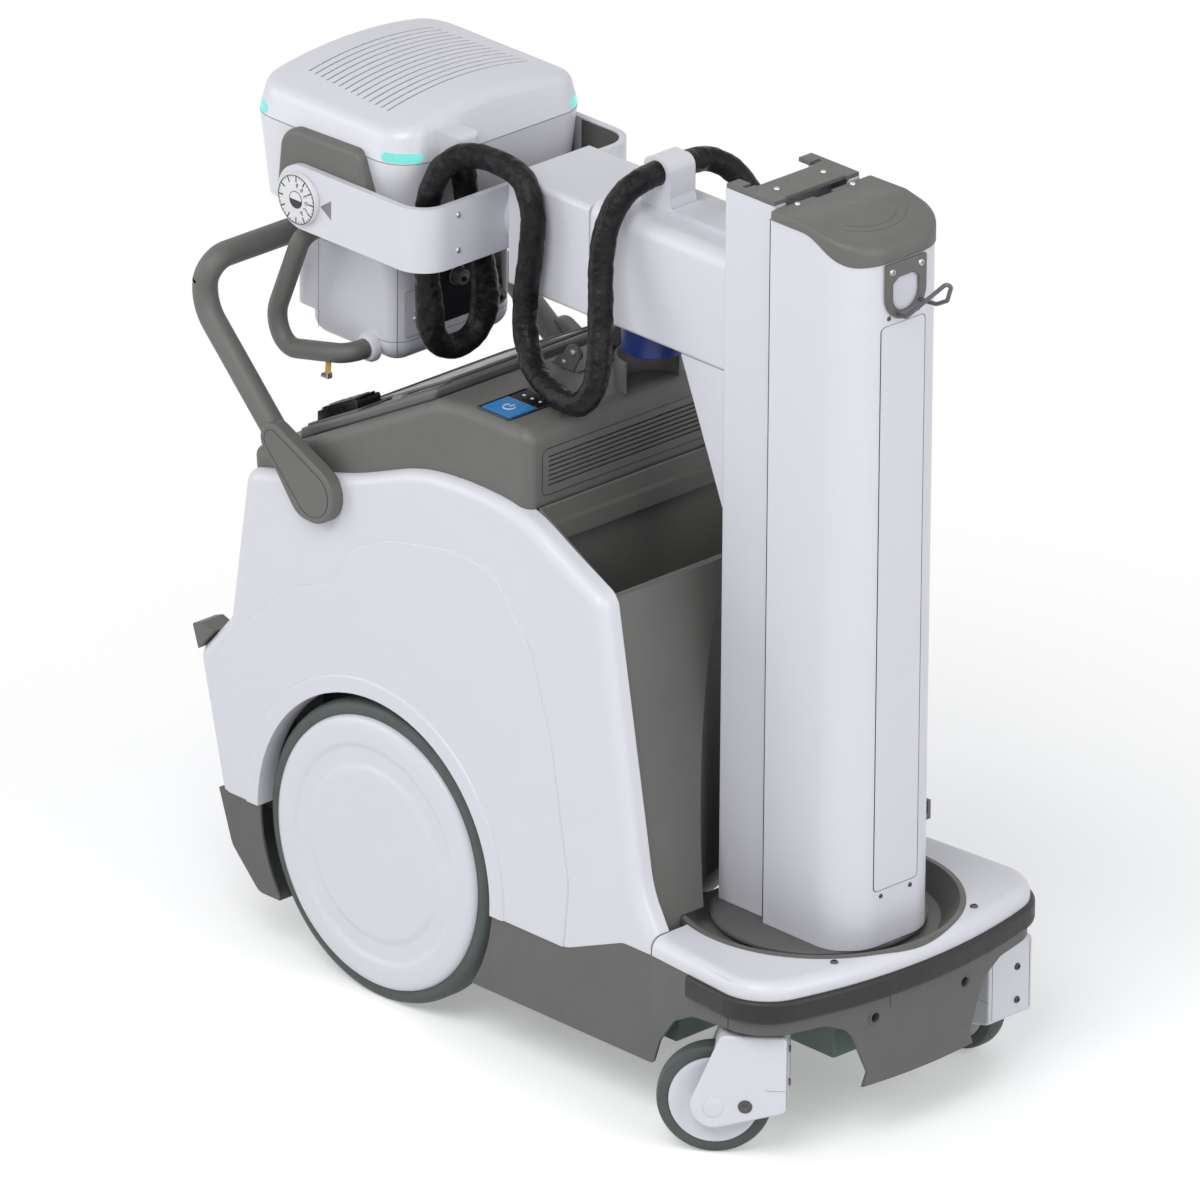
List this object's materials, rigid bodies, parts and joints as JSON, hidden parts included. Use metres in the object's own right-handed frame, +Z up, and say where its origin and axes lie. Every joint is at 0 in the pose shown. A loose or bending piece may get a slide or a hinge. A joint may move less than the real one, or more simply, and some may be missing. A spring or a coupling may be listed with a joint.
{
  "type": "mobile x-ray machine",
  "caption": "Battery-driven mobile x-ray machine: wheeled chassis, turning column with lifting mast, horizontal arm, tube head and collimator.",
  "frame": {"origin": "on the floor in the machine's mid-plane, 607 mm behind the swivel line's front skirt and 236 mm ahead of the rear axle", "axes": "+Z up, +X towards the front (column end), -Y the machine's right side, the side with the power button"},
  "size_m": [1.2302, 0.5999, 1.322],
  "materials": {
    "body_white": "satin moulded cover",
    "grey_plastic": "fine-grained moulded grey",
    "skirt_grey": "matt grey",
    "bumper_black": "matt rubber",
    "tyre_green": "grey-green tread rubber",
    "frame_steel": "green-grey powder coat",
    "column_white": "painted extrusion",
    "arm_white": "painted aluminium",
    "wire_steel": "grey coated wire",
    "core_alloy": "machined",
    "hose_black": "knitted sleeve",
    "display_glass": "dark glass",
    "button_blue": "lit blue",
    "panel_black": "black membrane panel",
    "puck_blue": "dark blue",
    "battery_case": "black case",
    "generator_case": "folded sheet and oil tank",
    "head_alloy": "painted casting",
    "dial_white": "printed scale",
    "insert_glass": "glass bulb with copper anode"
  },
  "bodies": {
    "chassis": {"chassis_frame": "frame_steel", "battery_pack": "battery_case", "generator": "generator_case", "drive_motors": "core_alloy", "side_cover_right": "body_white", "side_cover_left": "body_white", "side_skirts": "skirt_grey", "rear_cover": "body_white", "rear_skirt": "skirt_grey", "rear_grip": "grey_plastic", "front_deck": "body_white", "deck_well": "grey_plastic", "front_skirt": "skirt_grey", "bumper": "bumper_black", "console_housing": "grey_plastic", "console_lid": "grey_plastic", "display_glass": "display_glass", "hand_control": "panel_black", "detector_bin": "grey_plastic", "bin_front": "grey_plastic", "push_handle": "grey_plastic", "park_latch": "wire_steel"},
    "power_button": {"power_button": "button_blue"},
    "rear_wheel_right": {"rear_tyre_right": "tyre_green", "rear_wheel_right": "body_white"},
    "rear_wheel_left": {"rear_tyre_left": "tyre_green", "rear_wheel_left": "body_white"},
    "caster_right": {"caster_housing_right": "body_white"},
    "caster_left": {"caster_housing_left": "body_white"},
    "caster_wheel_right": {"caster_tyre_right": "tyre_green", "caster_hub_right": "body_white"},
    "caster_wheel_left": {"caster_tyre_left": "tyre_green", "caster_hub_left": "body_white"},
    "column": {"turntable": "skirt_grey", "column_cover": "column_white", "column_core": "core_alloy", "column_cap": "grey_plastic", "hook_plate": "grey_plastic", "cable_hooks": "wire_steel"},
    "mast": {"mast": "arm_white", "mast_bracket": "grey_plastic"},
    "boom": {"boom": "arm_white", "carriage": "arm_white", "cable_clamp": "body_white", "park_puck": "puck_blue", "hose_loop": "hose_black", "hose_back": "hose_black"},
    "arm": {"boom_end": "arm_white"},
    "yoke": {"yoke": "arm_white"},
    "tube_head": {"tube_housing": "head_alloy", "tube_insert": "insert_glass", "tube_cover": "body_white", "side_pads": "grey_plastic", "angle_dials": "dial_white", "hose_head": "hose_black"},
    "collimator": {"collimator": "body_white", "collimator_panel": "panel_black", "collimator_handle": "grey_plastic"},
    "collimator_knob_lower": {"collimator_knob_lower": "grey_plastic"},
    "collimator_knob_upper": {"collimator_knob_upper": "grey_plastic"}
  },
  "joints": [
    {"name": "power_button_press", "type": "slide", "parent": "chassis", "child": "power_button", "axis": [0, 0, -1], "range_m": [0, 0.002], "stiffness_N_per_m": 400},
    {"name": "rear_wheel_right_spin", "type": "hinge", "parent": "chassis", "child": "rear_wheel_right", "pos_m": [-0.236, -0.235, 0.22], "axis": [0, 1, 0], "continuous": true},
    {"name": "rear_wheel_left_spin", "type": "hinge", "parent": "chassis", "child": "rear_wheel_left", "pos_m": [-0.236, 0.235, 0.22], "axis": [0, 1, 0], "continuous": true},
    {"name": "caster_right_swivel", "type": "hinge", "parent": "chassis", "child": "caster_right", "pos_m": [0.466, -0.225, 0.21], "axis": [0, 0, 1], "continuous": true},
    {"name": "caster_left_swivel", "type": "hinge", "parent": "chassis", "child": "caster_left", "pos_m": [0.466, 0.225, 0.21], "axis": [0, 0, 1], "continuous": true},
    {"name": "caster_wheel_right_spin", "type": "hinge", "parent": "caster_right", "child": "caster_wheel_right", "pos_m": [0.43256, -0.25511, 0.08], "axis": [-0.6691, 0.7431, 0], "continuous": true},
    {"name": "caster_wheel_left_spin", "type": "hinge", "parent": "caster_left", "child": "caster_wheel_left", "pos_m": [0.421, 0.225, 0.08], "axis": [0, 1, 0], "continuous": true},
    {"name": "column_turn", "type": "hinge", "parent": "chassis", "child": "column", "pos_m": [0.371, 0, 0.24], "axis": [0, 0, 1], "range_deg": [-3, 3]},
    {"name": "mast_lift", "type": "slide", "parent": "column", "child": "mast", "axis": [0, 0, 1], "range_m": [0, 0.68]},
    {"name": "boom_lift", "type": "slide", "parent": "mast", "child": "boom", "axis": [0, 0, 1], "range_m": [0, 0.08]},
    {"name": "arm_extend", "type": "slide", "parent": "boom", "child": "arm", "axis": [-1, 0, 0], "range_m": [0, 0.008], "deforming": ["hose_loop"]},
    {"name": "yoke_roll", "type": "hinge", "parent": "arm", "child": "yoke", "pos_m": [-0.168, 0, 1.122], "axis": [1, 0, 0], "range_deg": [-4, 4]},
    {"name": "tube_tilt", "type": "hinge", "parent": "yoke", "child": "tube_head", "pos_m": [-0.447, 0, 1.122], "axis": [0, -1, 0], "range_deg": [0, 20], "deforming": ["hose_head"]},
    {"name": "collimator_turn", "type": "hinge", "parent": "tube_head", "child": "collimator", "pos_m": [-0.447, 0, 1.08], "axis": [0, 0, 1], "range_deg": [-3, 3]},
    {"name": "knob_lower_turn", "type": "hinge", "parent": "collimator", "child": "collimator_knob_lower", "pos_m": [-0.345, 0.07, 0.93], "axis": [1, 0, 0], "range_deg": [-140, 140]},
    {"name": "knob_upper_turn", "type": "hinge", "parent": "collimator", "child": "collimator_knob_upper", "pos_m": [-0.345, 0, 0.978], "axis": [1, 0, 0], "range_deg": [-140, 140]}
  ]
}
